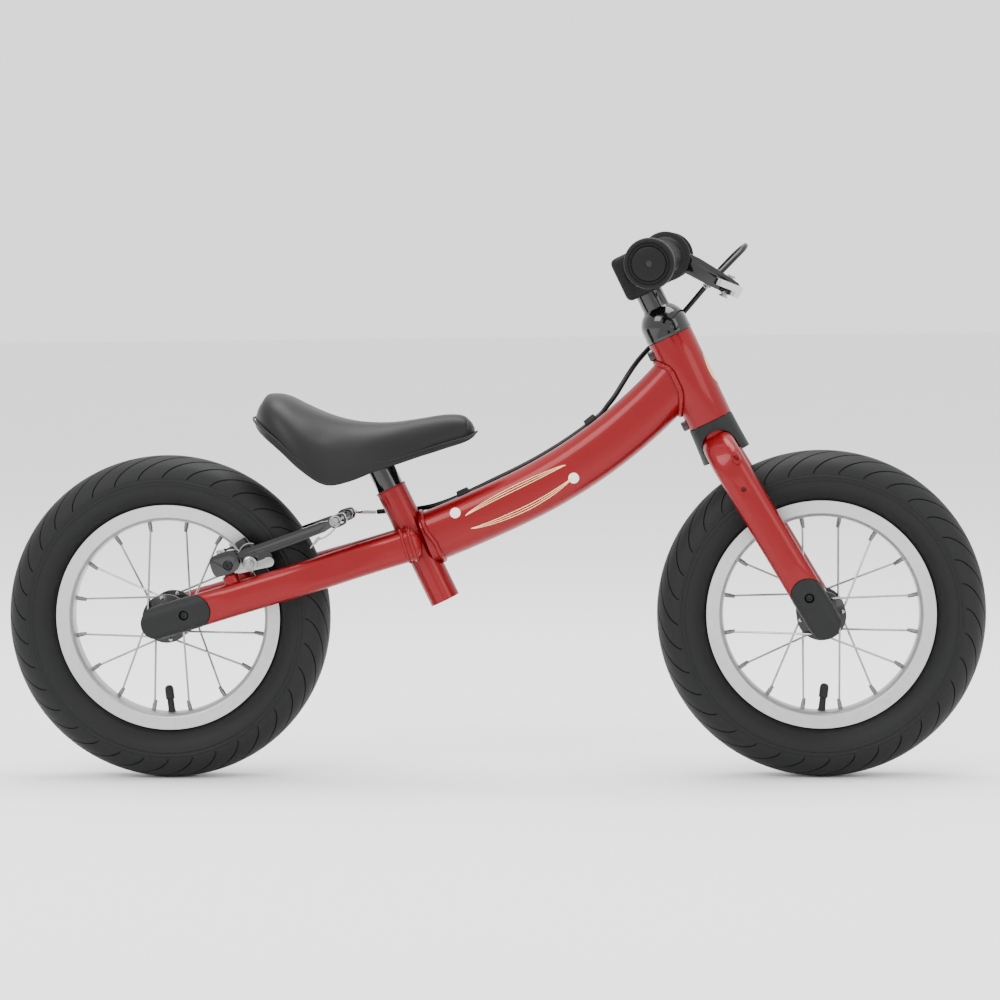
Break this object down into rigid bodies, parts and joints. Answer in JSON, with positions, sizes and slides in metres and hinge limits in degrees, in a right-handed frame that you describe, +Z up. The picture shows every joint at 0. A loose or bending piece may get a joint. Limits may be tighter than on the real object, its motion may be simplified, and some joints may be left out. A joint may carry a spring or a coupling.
{
  "type": "balance bike",
  "caption": "Child's pedal-free balance bike: curved oval frame, steering fork, spoked air-tyre wheels, rear rim brake with hand lever, padded saddle.",
  "frame": {"origin": "on the ground, midway between the ends of the tyres, in the bike's middle plane", "axes": "+X forwards, +Y to the rider's left, +Z up"},
  "size_m": [0.92, 0.3868, 0.5099],
  "materials": {
    "red_paint": "metallic red lacquer, glossy",
    "gloss_black": "glossy black",
    "satin_black_metal": "satin black powder coat",
    "matte_plastic": "fine matte grain",
    "grip_rubber": "matte ribbed rubber",
    "pad_foam": "matte foam skin",
    "tyre_rubber": "matte tread rubber",
    "tube_rubber": "smooth butyl",
    "rim_alloy": "satin silver",
    "bright_steel": "bright zinc plate",
    "chrome": "polished",
    "hub_alloy": "black anodised",
    "brake_pad_rubber": "grey-black compound",
    "saddle_cover": "satin black leatherette",
    "cable_sheath": "smooth black sheath"
  },
  "bodies": {
    "frame": {"head_tube": "red_paint", "main_tube": "red_paint", "seat_tube": "red_paint", "chainstay_right": "red_paint", "chainstay_left": "red_paint", "brake_bosses": "red_paint", "cable_clips": "matte_plastic", "brake_cable_frame": "cable_sheath", "brake_cable_front": "cable_sheath", "brake_cable_rear": "cable_sheath", "headset_bearings": "bright_steel", "seat_clamp_bolt": "bright_steel", "rear_axle": "bright_steel", "rear_axle_nuts": "bright_steel", "rear_end_caps": "matte_plastic", "rear_cap_screws": "bright_steel"},
    "fork": {"steerer_tube": "red_paint", "fork_crown": "red_paint", "fork_leg_right": "red_paint", "fork_leg_left": "red_paint", "crown_cover": "matte_plastic", "headset_dome": "gloss_black", "headset_locknut": "bright_steel", "front_axle": "bright_steel", "front_axle_nuts": "bright_steel", "front_end_caps": "matte_plastic", "front_cap_screws": "bright_steel"},
    "handlebar_set": {"stem_tube": "satin_black_metal", "handlebar": "satin_black_metal", "handlebar_pad": "pad_foam", "expander_wedge": "bright_steel", "expander_bolt": "bright_steel", "grip_right": "grip_rubber", "grip_left": "grip_rubber", "lever_bracket": "satin_black_metal", "cable_adjuster": "bright_steel", "lever_pivot_pin": "bright_steel"},
    "brake_lever": {"lever_blade": "chrome"},
    "right_brake_arm": {"brake_arm_right": "satin_black_metal", "brake_pads_right": "brake_pad_rubber", "brake_wire": "bright_steel"},
    "left_brake_arm": {"brake_arm_left": "satin_black_metal", "brake_pads_left": "brake_pad_rubber", "brake_noodle": "chrome"},
    "rear_wheel": {"rear_tyre": "tyre_rubber", "rear_inner_tube": "tube_rubber", "rear_rim": "rim_alloy", "rear_spokes": "bright_steel", "rear_hub": "hub_alloy", "rear_hub_bearings": "bright_steel"},
    "front_wheel": {"front_tyre": "tyre_rubber", "front_inner_tube": "tube_rubber", "front_rim": "rim_alloy", "front_spokes": "bright_steel", "front_hub": "hub_alloy", "front_hub_bearings": "bright_steel"},
    "saddle_set": {"seatpost": "satin_black_metal", "saddle_bolts": "bright_steel", "saddle_base": "matte_plastic", "saddle_cushion": "saddle_cover"}
  },
  "joints": [
    {"name": "steering", "type": "hinge", "parent": "frame", "child": "fork", "pos_m": [0.2052, 0, 0.334], "axis": [-0.4226, 0, 0.9063], "range_deg": [-40, 40], "deforming": ["brake_cable_front"]},
    {"name": "handlebar_height", "type": "slide", "parent": "fork", "child": "handlebar_set", "axis": [-0.4226, 0, 0.9063], "range_m": [-0.008, 0.035], "deforming": ["brake_cable_front"]},
    {"name": "lever_squeeze", "type": "hinge", "parent": "handlebar_set", "child": "brake_lever", "pos_m": [0.22432, -0.086, 0.46398], "axis": [-0.4067, 0, -0.9135], "range_deg": [0, 20], "stiffness_Nm_per_rad": 0.6, "springref_deg": -8.59},
    {"name": "right_arm_pivot", "type": "hinge", "parent": "frame", "child": "right_brake_arm", "pos_m": [-0.247, -0.038, 0.207], "axis": [-0.3239, 0, 0.9461], "range_deg": [0, 2.8], "deforming": ["brake_wire", "brake_cable_rear"]},
    {"name": "left_arm_pivot", "type": "hinge", "parent": "frame", "child": "left_brake_arm", "pos_m": [-0.247, 0.038, 0.207], "axis": [-0.3239, 0, 0.9461], "range_deg": [-2.8, 0], "deforming": ["brake_cable_rear", "brake_wire"]},
    {"name": "rear_wheel_spin", "type": "hinge", "parent": "frame", "child": "rear_wheel", "pos_m": [-0.307, 0, 0.153], "axis": [0, 1, 0], "continuous": true},
    {"name": "front_wheel_spin", "type": "hinge", "parent": "fork", "child": "front_wheel", "pos_m": [0.307, 0, 0.153], "axis": [0, 1, 0], "continuous": true},
    {"name": "saddle_height", "type": "slide", "parent": "frame", "child": "saddle_set", "axis": [-0.4274, 0, 0.9041], "range_m": [-0.01, 0.045]}
  ],
  "couplings": [
    {"joint": "right_arm_pivot", "follows": "lever_squeeze", "ratio": 0.14},
    {"joint": "left_arm_pivot", "follows": "lever_squeeze", "ratio": -0.14}
  ]
}
